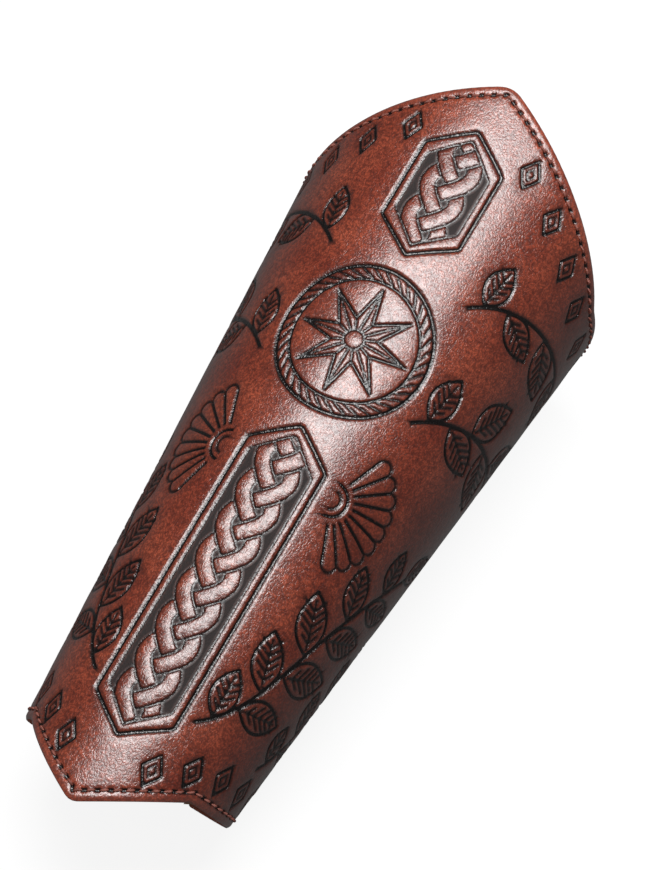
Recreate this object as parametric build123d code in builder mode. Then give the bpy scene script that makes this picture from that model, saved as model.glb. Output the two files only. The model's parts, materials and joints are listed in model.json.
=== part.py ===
from build123d import *

import os
from math import atan, cos, degrees, hypot, radians, sin

# A leather vambrace: a cone of three layers, open along the back and pointed at elbow and wrist.
# Beside each long edge, folded leather tabs hold D-shaped rings for a lace.
# It is worked out round the arm, with the arm's axis along Y from wrist to elbow and the middle
# of the tooled face upwards. Every piece stands where it rests: on its back, on the folds of the
# tabs, with the face up. Angles go round the arm from the middle of the face, to the right.
# Sizes are in millimetres and degrees.

# The cone of the outer face: its radius half-way along, and its growth for each millimetre
middle_radius = 42.0
slope = 0.0923
blank_length = 270.0

# The gap along the back, as an angle round the arm
back_gap = 50.0

# The layers, from the outside in. At both ends the two inner ones stop short of the leather's edge
leather_thickness = 1.5
board_thickness = 1.0
lining_thickness = 0.8
inner_short = 1.2

# The elbow end: two flat cuts that meet in a rounded point, and level sides. Places are an angle
# round the arm and a height along it, and a cut is square to the wall at its own angle. The hand
# cut end stands a little round the arm, by its turn
elbow_turn = 2.0
elbow_point = (0, 123.4)
elbow_corner = (74, 91.2)
elbow_square = 27
elbow_level = 90.4
elbow_point_radius = 8.0
elbow_corner_radius = 12.0

# The wrist end: a rounded point, and past its corners an easier cut that rises to the back. It
# stands a little round the arm the other way
wrist_turn = -3.6
wrist_point = (0, -121.8)
wrist_corner = (55, -103.4)
wrist_square = 36
wrist_side = (98, -99.0)
wrist_side_square = 110
wrist_point_radius = 4.0
wrist_corner_radius = 3.0

# The tabs, five a side, each a strip folded round the bar of its ring
stations = (-78.0, -41.0, -4.0, 33.0, 70.0)
tab_width = 11.0
tab_reach = 17.0
tab_leather = 1.6
tab_corner = 3.0
bar_out = 3.3
tab_gap = 0.12

# The rings, bent from round wire, and the running clearance of a bar in its fold
wire_radius = 1.2
bar_clearance = 0.1
ring_inside = 12.0
ring_leg = 3.6
ring_corner = 1.7

# The double-cap rivets: a hollow shank from outside, a post from inside
rivet_back = 9.5
cap_radius = 3.9
cap_height = 1.7
cap_rim = 0.55
shank_radius = 1.5
post_radius = 0.95
inner_cap_radius = 3.4
inner_cap_height = 1.0
rivet_clearance = 0.1
rivet_play = 0.05

# The seam along the edges
stitch_inset = 3.0
stitch_pitch = 3.6
stitch_length = 2.3
stitch_width = 0.8
stitch_height = 0.5
stitch_gap = 0.03

wall = leather_thickness + board_thickness + lining_thickness
tab_stack = 2 * tab_leather
fold_hole_radius = wire_radius + bar_clearance
fold_radius = fold_hole_radius + tab_leather
edge_angle = 180 - back_gap / 2
ring_half = ring_inside / 2 + wire_radius
shank_hole_radius = post_radius + rivet_play
sides = (("right", 1), ("left", -1))


# Directions and places on the face, in the arm's own frame
def outwards(angle):
    """Away from the arm's axis, square to it."""
    return Vector(sin(radians(angle)), 0, cos(radians(angle)))


def face_normal(angle):
    """Out of the face, square to the leather."""
    return (outwards(angle) - Vector(0, slope, 0)).normalized()


def round_the_arm(angle):
    """Round the arm, towards growing angles."""
    return Vector(cos(radians(angle)), 0, -sin(radians(angle)))


def up_the_arm(angle):
    """Along the face, from wrist to elbow."""
    return (outwards(angle) * slope + Vector(0, 1, 0)).normalized()


def radius_at(y):
    """Radius of the outer face at a place along the arm."""
    return middle_radius + slope * y


def on_face(angle, y, height=0.0):
    """A point at a height over the outer face."""
    return outwards(angle) * radius_at(y) + Vector(0, y, 0) + face_normal(angle) * height


def tab_bar(side, y):
    """Middle of a ring's bar, out past the long edge."""
    towards_gap = round_the_arm(side * edge_angle) * side
    return on_face(side * edge_angle, y, tab_gap + tab_stack / 2) + towards_gap * bar_out


def cut_between(first, second, square_at):
    """The plane through two places on the face, square to the wall at an angle round the arm."""
    normal = (on_face(*second) - on_face(*first)).cross(outwards(square_at))
    return Plane(origin=on_face(*first), z_dir=normal * (1 if normal.Y > 0 else -1))


def cut_height(cut, angle):
    """Where a cut crosses the outer face, at an angle round the arm."""
    lean = cut.z_dir.dot(outwards(angle))
    return (cut.z_dir.dot(cut.origin) - middle_radius * lean) / (cut.z_dir.Y + slope * lean)


elbow_cut = cut_between(elbow_point, elbow_corner, elbow_square)
wrist_cut = cut_between(wrist_point, wrist_corner, wrist_square)
wrist_side_cut = cut_between(wrist_corner, wrist_side, wrist_side_square)


def elbow_edge(angle):
    """Height of the elbow edge on the outer face."""
    return max(cut_height(elbow_cut, abs(angle - elbow_turn)), elbow_level)


def wrist_edge(angle):
    """Height of the wrist edge on the outer face."""
    away = abs(angle - wrist_turn)
    return min(cut_height(wrist_cut, away), cut_height(wrist_side_cut, away))


# The arm's frame in the resting frame: turned until the long edges are level, then lifted until
# the folds of the tabs touch the ground, with the ends of the piece equally far from the origin
rest_tilt = degrees(atan(slope * cos(radians(back_gap / 2))))
turned = Plane(Location((0, 0, 0), (rest_tilt, 0, 0)))


def rounded_tip(turn, point, corner, radius):
    """The tip of a point on the face, once it is rounded."""
    run = radians(corner[0] - point[0]) * radius_at(corner[1])
    steepness = hypot(run, corner[1] - point[1]) / run
    inwards = -1 if point[1] > corner[1] else 1
    return turned.from_local_coords(on_face(turn, point[1] + inwards * radius * (steepness - 1)))


elbow_tip = rounded_tip(elbow_turn, elbow_point, elbow_corner, elbow_point_radius)
wrist_tip = rounded_tip(wrist_turn, wrist_point, wrist_corner, wrist_point_radius)
rest_shift = -(elbow_tip.Y + wrist_tip.Y) / 2
rest_lift = fold_radius - turned.from_local_coords(tab_bar(1, 0)).Z
arm = Plane(Location((0, rest_shift, rest_lift), (rest_tilt, 0, 0)))


def rested(plane):
    """A plane of the arm's frame, in the resting frame."""
    return Plane(
        origin=arm.from_local_coords(plane.origin),
        x_dir=rested_direction(plane.x_dir),
        z_dir=rested_direction(plane.z_dir),
    )


def rested_direction(direction):
    """A direction of the arm's frame, in the resting frame."""
    return arm.x_dir * direction.X + arm.y_dir * direction.Y + arm.z_dir * direction.Z


def seat(angle, y, height=0.0, turn=0.0):
    """A plane at a height over the face, with X round the arm, turned towards the elbow."""
    x_dir = round_the_arm(angle) * cos(radians(turn)) + up_the_arm(angle) * sin(radians(turn))
    return rested(Plane(origin=on_face(angle, y, height), x_dir=x_dir, z_dir=face_normal(angle)))


def rivet_angle(y):
    """Angle of a rivet round the arm, at its place along it."""
    return edge_angle - degrees(rivet_back / radius_at(y))


# What is cut away past the elbow edge: over the level sides and over both slopes of the point
with BuildPart() as past_elbow:
    with Locations(arm.location * Location((0, elbow_level, 0))):
        Box(
            2 * blank_length, blank_length, 2 * blank_length,
            align=(Align.CENTER, Align.MIN, Align.CENTER),
        )
    split(bisect_by=Plane.YZ, keep=Keep.TOP)
    split(bisect_by=rested(elbow_cut), keep=Keep.TOP)
    corner = arm.from_local_coords(on_face(elbow_corner[0], elbow_level))
    fillet(past_elbow.edges().sort_by_distance(corner)[0], elbow_corner_radius)
    mirror(about=Plane.YZ)
    point = arm.from_local_coords(on_face(*elbow_point))
    middle_edges = past_elbow.edges().filter_by_position(Axis.X, -0.01, 0.01)
    fillet(middle_edges.sort_by_distance(point)[0], elbow_point_radius)

# What is cut away past the wrist edge: under the easy cuts and under the point's slopes
with BuildPart() as past_wrist:
    with Locations(arm.location):
        Box(
            2 * blank_length, blank_length, 3 * middle_radius,
            align=(Align.CENTER, Align.MAX, Align.CENTER),
        )
    split(bisect_by=Plane.YZ, keep=Keep.TOP)
    split(bisect_by=rested(wrist_cut), keep=Keep.BOTTOM)
    split(bisect_by=rested(wrist_side_cut), keep=Keep.BOTTOM)
    corner = arm.from_local_coords(on_face(*wrist_corner))
    fillet(past_wrist.edges().sort_by_distance(corner)[0], wrist_corner_radius)
    mirror(about=Plane.YZ)
    point = arm.from_local_coords(on_face(*wrist_point))
    middle_edges = past_wrist.edges().filter_by_position(Axis.X, -0.01, 0.01)
    fillet(middle_edges.sort_by_distance(point)[0], wrist_point_radius)

os.makedirs("parts", exist_ok=True)

# The three layers: conical sheets, trimmed at both ends and punched alike for the rivets
layers = (
    ("outer_leather", 0, leather_thickness, 0),
    ("stiffener", leather_thickness, leather_thickness + board_thickness, inner_short),
    ("lining", leather_thickness + board_thickness, wall, inner_short),
)
left_edge = outwards(-edge_angle)
long_edge = rested(Plane(origin=(0, 0, 0), x_dir=left_edge, z_dir=-round_the_arm(-edge_angle)))
arm_axis = Axis(arm.origin, arm.y_dir)
elbow_waste = past_elbow.part.rotate(arm_axis, elbow_turn)
wrist_waste = past_wrist.part.rotate(arm_axis, wrist_turn)
for name, top, bottom, short in layers:
    with BuildPart() as layer:
        with BuildSketch(long_edge):
            with BuildLine():
                Polyline(
                    (radius_at(-blank_length / 2) - bottom, -blank_length / 2),
                    (radius_at(-blank_length / 2) - top, -blank_length / 2),
                    (radius_at(blank_length / 2) - top, blank_length / 2),
                    (radius_at(blank_length / 2) - bottom, blank_length / 2),
                    close=True,
                )
            make_face()
        revolve(axis=arm_axis, revolution_arc=2 * edge_angle)
        add(elbow_waste.moved(Location(arm.y_dir * -short)), mode=Mode.SUBTRACT)
        add(wrist_waste.moved(Location(arm.y_dir * short)), mode=Mode.SUBTRACT)
        for _, side in sides:
            with Locations(*[seat(side * rivet_angle(y), y) for y in stations]):
                Cylinder(shank_radius + rivet_clearance, 4 * wall, mode=Mode.SUBTRACT)
    layer.part.label = name
    export_step(layer.part, f"parts/{name}.step")

# The tabs: drawn square to the long edge, with X towards the gap and Y out of the face
for side_name, side in sides:
    for number, y in enumerate(stations, start=1):
        towards_gap = round_the_arm(side * edge_angle) * side
        out = face_normal(side * edge_angle)
        section = rested(
            Plane(
                origin=on_face(side * edge_angle, y, tab_gap),
                x_dir=towards_gap,
                z_dir=towards_gap.cross(out),
            )
        )
        under = radius_at(y) + tab_gap
        over = under + tab_stack
        turn = tab_reach / under
        with BuildPart() as lace_tab:
            with BuildSketch(section):
                with BuildLine():
                    Line(
                        (-over * sin(turn), over * cos(turn) - under),
                        (-under * sin(turn), under * cos(turn) - under),
                    )
                    ThreePointArc(
                        (-under * sin(turn), under * cos(turn) - under),
                        (-under * sin(turn / 2), under * cos(turn / 2) - under),
                        (0, 0),
                    )
                    Line((0, 0), (bar_out, 0))
                    Line((bar_out, 0), (bar_out, tab_stack))
                    Line((bar_out, tab_stack), (0, tab_stack))
                    ThreePointArc(
                        (0, tab_stack),
                        (-over * sin(turn / 2), over * cos(turn / 2) - under),
                        (-over * sin(turn), over * cos(turn) - under),
                    )
                make_face()
                with Locations((bar_out, tab_stack / 2)):
                    Circle(fold_radius)
                    Circle(fold_hole_radius, mode=Mode.SUBTRACT)
            extrude(amount=tab_width / 2, both=True)
            end = lace_tab.faces().sort_by(Axis(section.origin, section.x_dir))[0]
            corners = end.edges().filter_by(Axis(section.origin, section.z_dir), reverse=True)
            fillet(corners, tab_corner)
            with Locations(seat(side * rivet_angle(y), y)):
                Cylinder(shank_radius + rivet_clearance, 4 * wall, mode=Mode.SUBTRACT)
        lace_tab.part.label = f"lace_tab_{side_name}_{number}"
        export_step(lace_tab.part, f"parts/lace_tab_{side_name}_{number}.step")

# The rings: each lies on the ground with its bow towards the middle of the gap
ring_reach = ring_leg + ring_half
ring_droop = -atan((fold_radius - wire_radius) / ring_reach)
for side_name, side in sides:
    for number, y in enumerate(stations, start=1):
        bar = rested_direction(up_the_arm(side * edge_angle))
        level = Vector(-side, 0, 0)
        bow = level * cos(ring_droop) + Vector(0, 0, sin(ring_droop))
        lie = Plane(origin=arm.from_local_coords(tab_bar(side, y)), x_dir=bar, z_dir=bar.cross(bow))
        with BuildPart() as lace_ring:
            with BuildLine(lie) as centre_line:
                Line((0, 0), (ring_half - ring_corner, 0))
                CenterArc((ring_half - ring_corner, ring_corner), ring_corner, -90, 90)
                Line((ring_half, ring_corner), (ring_half, ring_leg))
                CenterArc((0, ring_leg), ring_half, 0, 180)
                Line((-ring_half, ring_leg), (-ring_half, ring_corner))
                CenterArc((-ring_half + ring_corner, ring_corner), ring_corner, 180, 90)
                Line((-ring_half + ring_corner, 0), (0, 0))
            with BuildSketch(Plane(origin=lie.origin, z_dir=lie.x_dir)):
                Circle(wire_radius)
            sweep()
        lace_ring.part.label = f"lace_ring_{side_name}_{number}"
        export_step(lace_ring.part, f"parts/lace_ring_{side_name}_{number}.step")

# The rivet caps: a domed cap over the tab, on a hollow shank through all layers
cap_seat = tab_gap + tab_stack + rivet_play
shank_length = cap_seat + wall - rivet_play
dome = cap_height - cap_rim
dome_radius = (cap_radius**2 + dome**2) / (2 * dome)
dome_turn = degrees(atan(cap_radius / (dome_radius - dome)))
for side_name, side in sides:
    with BuildPart(mode=Mode.PRIVATE) as one_cap:
        with BuildSketch(Plane.XZ):
            with BuildLine():
                Polyline(
                    (0, cap_height),
                    (0, -shank_length / 3),
                    (shank_hole_radius, -shank_length / 3),
                    (shank_hole_radius, -shank_length),
                    (shank_radius, -shank_length),
                    (shank_radius, 0),
                    (cap_radius, 0),
                    (cap_radius, cap_rim),
                )
                CenterArc((0, cap_height - dome_radius), dome_radius, 90 - dome_turn, dome_turn)
            make_face()
        revolve(axis=Axis.Z)
    with BuildPart() as rivet_caps:
        with Locations(*[seat(side * rivet_angle(y), y, cap_seat) for y in stations]):
            add(one_cap.part)
    rivet_caps.part.label = f"rivet_caps_{side_name}"
    export_step(rivet_caps.part, f"parts/rivet_caps_{side_name}.step")

# The rivet posts: a flat cap against the hollow of the lining, and the post driven into the shank
lining_hollow = inner_cap_radius**2 / (2 * (radius_at(stations[0]) - wall))
post_seat = -wall - lining_hollow - rivet_play
post_length = cap_seat - shank_length / 3 - rivet_play - post_seat
for side_name, side in sides:
    with BuildPart(mode=Mode.PRIVATE) as one_post:
        Cylinder(
            inner_cap_radius, inner_cap_height, align=(Align.CENTER, Align.CENTER, Align.MAX)
        )
        fillet(one_post.edges().group_by(Axis.Z)[0], inner_cap_height * 0.6)
        Cylinder(post_radius, post_length, align=(Align.CENTER, Align.CENTER, Align.MIN))
    with BuildPart() as rivet_posts:
        with Locations(*[seat(side * rivet_angle(y), y, post_seat) for y in stations]):
            add(one_post.part)
    rivet_posts.part.label = f"rivet_posts_{side_name}"
    export_step(rivet_posts.part, f"parts/rivet_posts_{side_name}.step")


def end_stitches(edge, inset):
    """Seats of the stitches along a pointed end, which turn with the edge."""
    found = []
    angle = -edge_angle
    while angle < edge_angle:
        across = radians(1) * radius_at(edge(angle))
        rise = edge(angle + 0.5) - edge(angle - 0.5)
        steepness = hypot(across, rise) / across
        y = edge(angle) + inset * steepness
        if abs(angle) < edge_angle - degrees(stitch_inset / radius_at(y)):
            found.append(seat(angle, y, stitch_gap, degrees(atan(rise / across))))
        angle += degrees(stitch_pitch / steepness / radius_at(y))
    return found


def long_stitches(side):
    """Seats of the stitches along a long edge, where no tab covers them."""
    found = []
    y = wrist_edge(side * edge_angle) + stitch_inset + stitch_pitch
    while y < elbow_level - stitch_inset - stitch_pitch:
        if all(abs(y - station) > (tab_width + stitch_length) / 2 + tab_gap for station in stations):
            angle = edge_angle - degrees(stitch_inset / radius_at(y))
            found.append(seat(side * angle, y, stitch_gap, 90))
        y += stitch_pitch
    return found


# The thread: what shows of each stitch, over the face
with BuildPart() as edge_stitching:
    stitch_seats = end_stitches(elbow_edge, -stitch_inset) + end_stitches(wrist_edge, stitch_inset)
    for _, side in sides:
        stitch_seats += long_stitches(side)
    with Locations(*stitch_seats):
        Box(
            stitch_length, stitch_width, stitch_height,
            align=(Align.CENTER, Align.CENTER, Align.MIN),
        )
edge_stitching.part.label = "edge_stitching"
export_step(edge_stitching.part, "parts/edge_stitching.step")

print("stitches", len(stitch_seats), "tilt", rest_tilt, "shift", rest_shift, "lift", rest_lift)
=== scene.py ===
import json
import math

import bmesh
import bpy
import numpy as np
from mathutils import Matrix, Vector, geometry, kdtree


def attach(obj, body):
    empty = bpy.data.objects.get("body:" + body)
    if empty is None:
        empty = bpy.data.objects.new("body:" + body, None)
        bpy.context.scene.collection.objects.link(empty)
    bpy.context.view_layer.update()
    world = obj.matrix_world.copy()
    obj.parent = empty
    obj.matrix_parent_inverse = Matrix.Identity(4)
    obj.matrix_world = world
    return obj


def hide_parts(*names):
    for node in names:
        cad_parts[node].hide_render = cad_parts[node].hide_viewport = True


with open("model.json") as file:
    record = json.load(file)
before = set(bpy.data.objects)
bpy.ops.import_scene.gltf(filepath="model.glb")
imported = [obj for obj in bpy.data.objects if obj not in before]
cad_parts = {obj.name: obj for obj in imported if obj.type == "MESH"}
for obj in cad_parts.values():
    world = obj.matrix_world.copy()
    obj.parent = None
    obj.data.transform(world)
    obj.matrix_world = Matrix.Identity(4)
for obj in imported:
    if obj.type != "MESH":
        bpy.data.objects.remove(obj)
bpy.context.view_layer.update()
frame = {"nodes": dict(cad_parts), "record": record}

# The forearm's own axes, as the solids lie at rest: the arm runs from wrist to elbow along its Y,
# and the middle of the tooled face is at its Z. Sizes in this file are in millimetres.
MM = 0.001
forearm = next(m for m in frame["record"]["mounts"] if m["name"] == "forearm")
arm_origin = Vector(forearm["pos_m"])
arm_y = Vector(forearm["axis"]).normalized()
arm_x = Vector((1, 0, 0))
arm_z = arm_x.cross(arm_y)
arm_axes = np.array([arm_x, arm_y, arm_z])


def laid(points):
    """Points of the arm's frame in millimetres, as they lie at rest, in metres."""
    return np.asarray(points, float) * MM @ arm_axes + np.array(arm_origin)


# Camera: a long lens, 900 mm back from the arm's middle, looking down on the face from the wrist. Its
# axes and its shifts to the right and up are those of a camera fitted to the photographed outline.
LENS = 126.4
SENSOR = 36.0
VIEW_BACK = np.array((0.2271, -0.3602, 0.9048))
VIEW_RIGHT = np.array((0.8675, 0.4970, -0.0199))
VIEW_UP = np.array((-0.4425, 0.7895, 0.4253))
CAMERA_BACK, CAMERA_RIGHT, CAMERA_UP = 900, 6.74, 16.96
camera_place = CAMERA_BACK * VIEW_BACK + CAMERA_RIGHT * VIEW_RIGHT + CAMERA_UP * VIEW_UP
camera = bpy.data.objects.new("camera", bpy.data.cameras.new("camera"))
bpy.context.scene.collection.objects.link(camera)
camera.data.lens = LENS
camera.data.sensor_width = SENSOR
turn = np.array([VIEW_RIGHT, VIEW_UP, VIEW_BACK]) @ arm_axes
camera.matrix_world = Matrix.Translation(Vector(laid(camera_place))) @ Matrix(turn.T).to_4x4()
bpy.context.scene.camera = camera
bpy.context.scene.view_settings.view_transform = "Standard"


# Outer leather: one sheet of coated hide, cut as a flat blank, tooled with a swivel knife and
# stamps while it is damp, dyed red-brown, antiqued with black wax and then rolled into a cone.
# The blank is laid out flat, with U across it and V along it, and wrapped round the arm.
MIDDLE_RADIUS = 42.0
SLOPE = 0.0923
EDGE_ANGLE = 155.0
LEATHER = 1.5
SIN_CONE = SLOPE / math.hypot(1, SLOPE)
COS_CONE = 1 / math.hypot(1, SLOPE)
BLANK_RADIUS = MIDDLE_RADIUS / SIN_CONE
# The flat cuts of both ends: places on the cone, as degrees from the middle and height along the arm,
# and the degrees at which each cut is square to the wall
ELBOW_POINT, ELBOW_CORNER, ELBOW_SQUARE, ELBOW_LEVEL = (0, 123.4), (74, 91.2), 27, 90.4
WRIST_POINT, WRIST_CORNER, WRIST_SQUARE = (0, -121.8), (55, -103.4), 36
WRIST_SIDE, WRIST_SIDE_SQUARE = (98, -99.0), 110
ELBOW_TURN, WRIST_TURN = 2.0, -3.6
TIP_RADIUS = {"elbow": 8.0, "wrist": 4.0}
CORNER_RADIUS = {"elbow": 12.0, "wrist": 3.0}


def on_blank(angle, y):
    """A place on the cone, by its angle round the arm and its height, laid flat on the blank."""
    slant = (MIDDLE_RADIUS + SLOPE * np.asarray(y, float)) / SIN_CONE
    fan = np.radians(angle) * SIN_CONE
    return np.stack([slant * np.sin(fan), slant * np.cos(fan) - BLANK_RADIUS], -1)


def round_arm(flat):
    """Places on the blank as degrees round the arm and heights along it."""
    degrees = np.degrees(np.arctan2(flat[:, 0], flat[:, 1] + BLANK_RADIUS)) / SIN_CONE
    level = (np.hypot(flat[:, 0], flat[:, 1] + BLANK_RADIUS) * SIN_CONE - MIDDLE_RADIUS) / SLOPE
    return degrees, level


def wrapped(flat, height):
    """Places on the blank, at a height over it, wrapped round the arm in the arm's frame."""
    slant = np.hypot(flat[:, 0], flat[:, 1] + BLANK_RADIUS)
    angle = np.arctan2(flat[:, 0], flat[:, 1] + BLANK_RADIUS) / SIN_CONE
    radius = slant * SIN_CONE
    y = (radius - MIDDLE_RADIUS) / SLOPE
    out = np.stack([np.sin(angle), 0 * angle, np.cos(angle)], -1)
    normal = out * COS_CONE - np.array((0, SIN_CONE, 0))
    return out * radius[:, None] + np.array((0, 1, 0)) * y[:, None] + normal * np.asarray(height)[:, None]


def out_of_axis(angle):
    """The direction straight out of the arm's axis, at an angle round it in degrees."""
    return np.stack([np.sin(np.radians(angle)), 0 * angle, np.cos(np.radians(angle))], -1)


def cut_line(first, second, square_at, angles):
    """Height, at each angle, of a flat cut through two places that is square to the wall at one angle."""
    ends = [out_of_axis(a) * (MIDDLE_RADIUS + SLOPE * y) + np.array((0, y, 0)) for a, y in (first, second)]
    normal = np.cross(ends[1] - ends[0], out_of_axis(square_at))
    normal = normal * np.sign(normal[1])
    lean = out_of_axis(np.abs(angles)) @ normal
    return (normal @ ends[0] - MIDDLE_RADIUS * lean) / (normal[1] + SLOPE * lean)


def elbow_edge(angles):
    """Height of the elbow end: a slanting cut on each side of its point, then a level one."""
    return np.maximum(cut_line(ELBOW_POINT, ELBOW_CORNER, ELBOW_SQUARE, angles - ELBOW_TURN), ELBOW_LEVEL)


def wrist_edge(angles):
    """Height of the wrist end: two slanting cuts on each side of its point."""
    point = cut_line(WRIST_POINT, WRIST_CORNER, WRIST_SQUARE, angles - WRIST_TURN)
    return np.minimum(point, cut_line(WRIST_CORNER, WRIST_SIDE, WRIST_SIDE_SQUARE, angles - WRIST_TURN))


def evenly(points, step, closed=False):
    """The same line with points an even step apart."""
    points = np.asarray(points, float)
    if closed:
        points = np.vstack([points, points[:1]])
    along = np.concatenate([[0], np.cumsum(np.hypot(*np.diff(points, axis=0).T))])
    count = max(2, round(along[-1] / step) + 1)
    at = np.linspace(0, along[-1], count)[: count - 1 if closed else count]
    return np.stack([np.interp(at, along, points[:, k]) for k in (0, 1)], -1)


def bow(start, pull, stop, count=14):
    """A gentle curve from start to stop that leans towards pull."""
    t = np.linspace(0, 1, count)[:, None]
    return np.array(start) * (1 - t) ** 2 + 2 * np.array(pull) * t * (1 - t) + np.array(stop) * t**2


# The outline's steps: fine ones for rounding a corner, whose sides are taken from NEAR to FAR steps away
FINE_STEP, OUTLINE_STEP = 0.25, 1.3
NEAR, FAR, MOST_ROUNDED = 12, 24, 60


def rounded_end(edge, end, turn, corner):
    """One end of the blank, with its tip and its two corners rounded."""
    angles = np.arange(-EDGE_ANGLE, EDGE_ANGLE + 0.01, 0.5)
    line = evenly(on_blank(angles, edge(angles)), FINE_STEP)
    for angle, radius in zip(
        (turn, turn + corner, turn - corner), (TIP_RADIUS[end], CORNER_RADIUS[end], CORNER_RADIUS[end])
    ):
        peak = int(np.argmin(np.hypot(*(line - on_blank(angle, edge(angle))).T)))
        before, after = line[peak - NEAR] - line[peak - FAR], line[peak + FAR] - line[peak + NEAR]
        bend = math.acos(np.clip(before @ after / np.hypot(*before) / np.hypot(*after), -1, 1))
        reach = min(max(2, round(radius * math.tan(bend / 2) / FINE_STEP)), MOST_ROUNDED)
        rounded = bow(line[peak - reach], line[peak], line[peak + reach], 2 * reach + 1)
        line[peak - reach : peak + reach + 1] = rounded
    return line


# The degrees at which the elbow's slanting cut meets the level one, to a quarter of a degree
right_side = np.arange(60, 100, 0.25)
level_from = float(right_side[elbow_edge(right_side) <= ELBOW_LEVEL][0])
elbow_line = rounded_end(elbow_edge, "elbow", ELBOW_TURN, level_from - ELBOW_TURN)
wrist_line = rounded_end(wrist_edge, "wrist", WRIST_TURN, WRIST_CORNER[0])
blank_outline = evenly(np.vstack([wrist_line, elbow_line[::-1]]), OUTLINE_STEP, closed=True)

# The tooling: a plaited band, broken by a star in a rope ring, and branches of ribbed leaves on both
# flanks, with a fan on each side and small lozenge stamps along the ends. Widths are those of the cuts.
BOLD, MEDIUM, FINE = 1.5, 1.15, 0.9
LINE_STEP = 1.0
cuts = []
taken = []


def cut(points, width, mirrored=True):
    """Adds one knife cut, and the same on the other half of the blank."""
    points = np.asarray(points, float)
    cuts.append((points, width))
    taken.append(evenly(points, LINE_STEP))
    if mirrored:
        cuts.append((points * np.array((-1, 1)), width))


def towards(angle):
    """A direction on the blank, by its angle in radians."""
    return np.array((math.cos(angle), math.sin(angle)))


def arc(centre, radius, start, stop, step=6):
    """Part of a circle on the blank, from one angle to another in degrees."""
    a = np.radians(np.arange(start, stop + 0.01, step))
    return np.stack([centre[0] + radius * np.cos(a), centre[1] + radius * np.sin(a)], -1)


# The star in its ring, cut with a compass, and the slanting nicks of the rope between its two lines
STAR_PLACE, STAR_TIPS = np.array((0.0, 32.0)), 8
RING_RADIUS, RING_INNER, STAR_REACH, STAR_WAIST, HUB = 23.5, 19.2, 17.2, 6.8, 3.0
ROPE_NICKS, NICK_LEAN, NICK_GAP = 40, 0.09, 0.5
cut(arc(STAR_PLACE, RING_RADIUS, 0, 360), BOLD, mirrored=False)
cut(arc(STAR_PLACE, RING_INNER, 0, 360), MEDIUM, mirrored=False)
for number in range(ROPE_NICKS):
    a = 2 * math.pi * number / ROPE_NICKS
    inner = STAR_PLACE + (RING_INNER + NICK_GAP) * towards(a - NICK_LEAN)
    outer = STAR_PLACE + (RING_RADIUS - NICK_GAP) * towards(a + NICK_LEAN)
    cut([inner, outer], FINE, mirrored=False)


def star_corner(number, radius=None):
    """A corner of the star, tips and waists in turn, or the place in its direction on a circle."""
    radius = radius or (STAR_REACH if number % 2 == 0 else STAR_WAIST)
    return STAR_PLACE + radius * towards(math.radians(90 + 180 / STAR_TIPS * number))


for number in range(2 * STAR_TIPS):
    cut([star_corner(number), star_corner(number + 1)], MEDIUM, mirrored=False)
    cut([star_corner(number, HUB), star_corner(number)], FINE, mirrored=False)
cut(arc(STAR_PLACE, HUB, 0, 360, 20), FINE, mirrored=False)

# The plaited band in two panels, over and under the star: a six-sided frame of two lines, pointed at
# both ends, and in it three strands that swing from side to side and pass over and under each other
PANELS = ((62.0, 106.0), (-100.0, 2.0))
BAND_HALF, BAND_POINT, BAND_INNER, POINT_INSET = 13.0, 9.0, 2.8, 1.2
STRANDS, STRAND, SWING, PLAIT_LENGTH, STRAND_STEP = 3, 5.0, 5.6, 33.0, 0.3
BORDER_INSIDE, BORDER_HIDDEN, SHORTEST_RUN = 0.2, 0.1, 3


def panel_outline(low, high, inset):
    """The line round a panel, drawn in by inset."""
    half = BAND_HALF - inset
    bottom, top = low + inset * POINT_INSET, high - inset * POINT_INSET
    right = [(half, bottom + BAND_POINT), (half, top - BAND_POINT)]
    left = [(-u, v) for u, v in right[::-1]]
    return np.array([(0, bottom)] + right + [(0, top)] + left + [(0, bottom)])


def in_panel(points, low, high, inset):
    """How far inside a panel's line, drawn in by inset, each point is; less than 0 is outside."""
    u, v = np.abs(points[:, 0]), points[:, 1]
    half = BAND_HALF - inset
    bottom, top = low + inset * POINT_INSET, high - inset * POINT_INSET
    lean = math.hypot(half, BAND_POINT)
    below = ((v - bottom) * half - u * BAND_POINT) / lean
    above = ((top - v) * half - u * BAND_POINT) / lean
    return np.minimum(half - u, np.minimum(below, above))


def tree_of(places):
    """A search tree over places on the blank, each known by its number in the list."""
    tree = kdtree.KDTree(len(places))
    for index, (u, v) in enumerate(places):
        tree.insert((u, v, 0), index)
    tree.balance()
    return tree


def square_to(line):
    """The direction square to a line, at each of its points."""
    along = np.gradient(line, axis=0)
    return np.stack([-along[:, 1], along[:, 0]], -1) / np.maximum(np.hypot(*along.T), 1e-9)[:, None]


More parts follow.
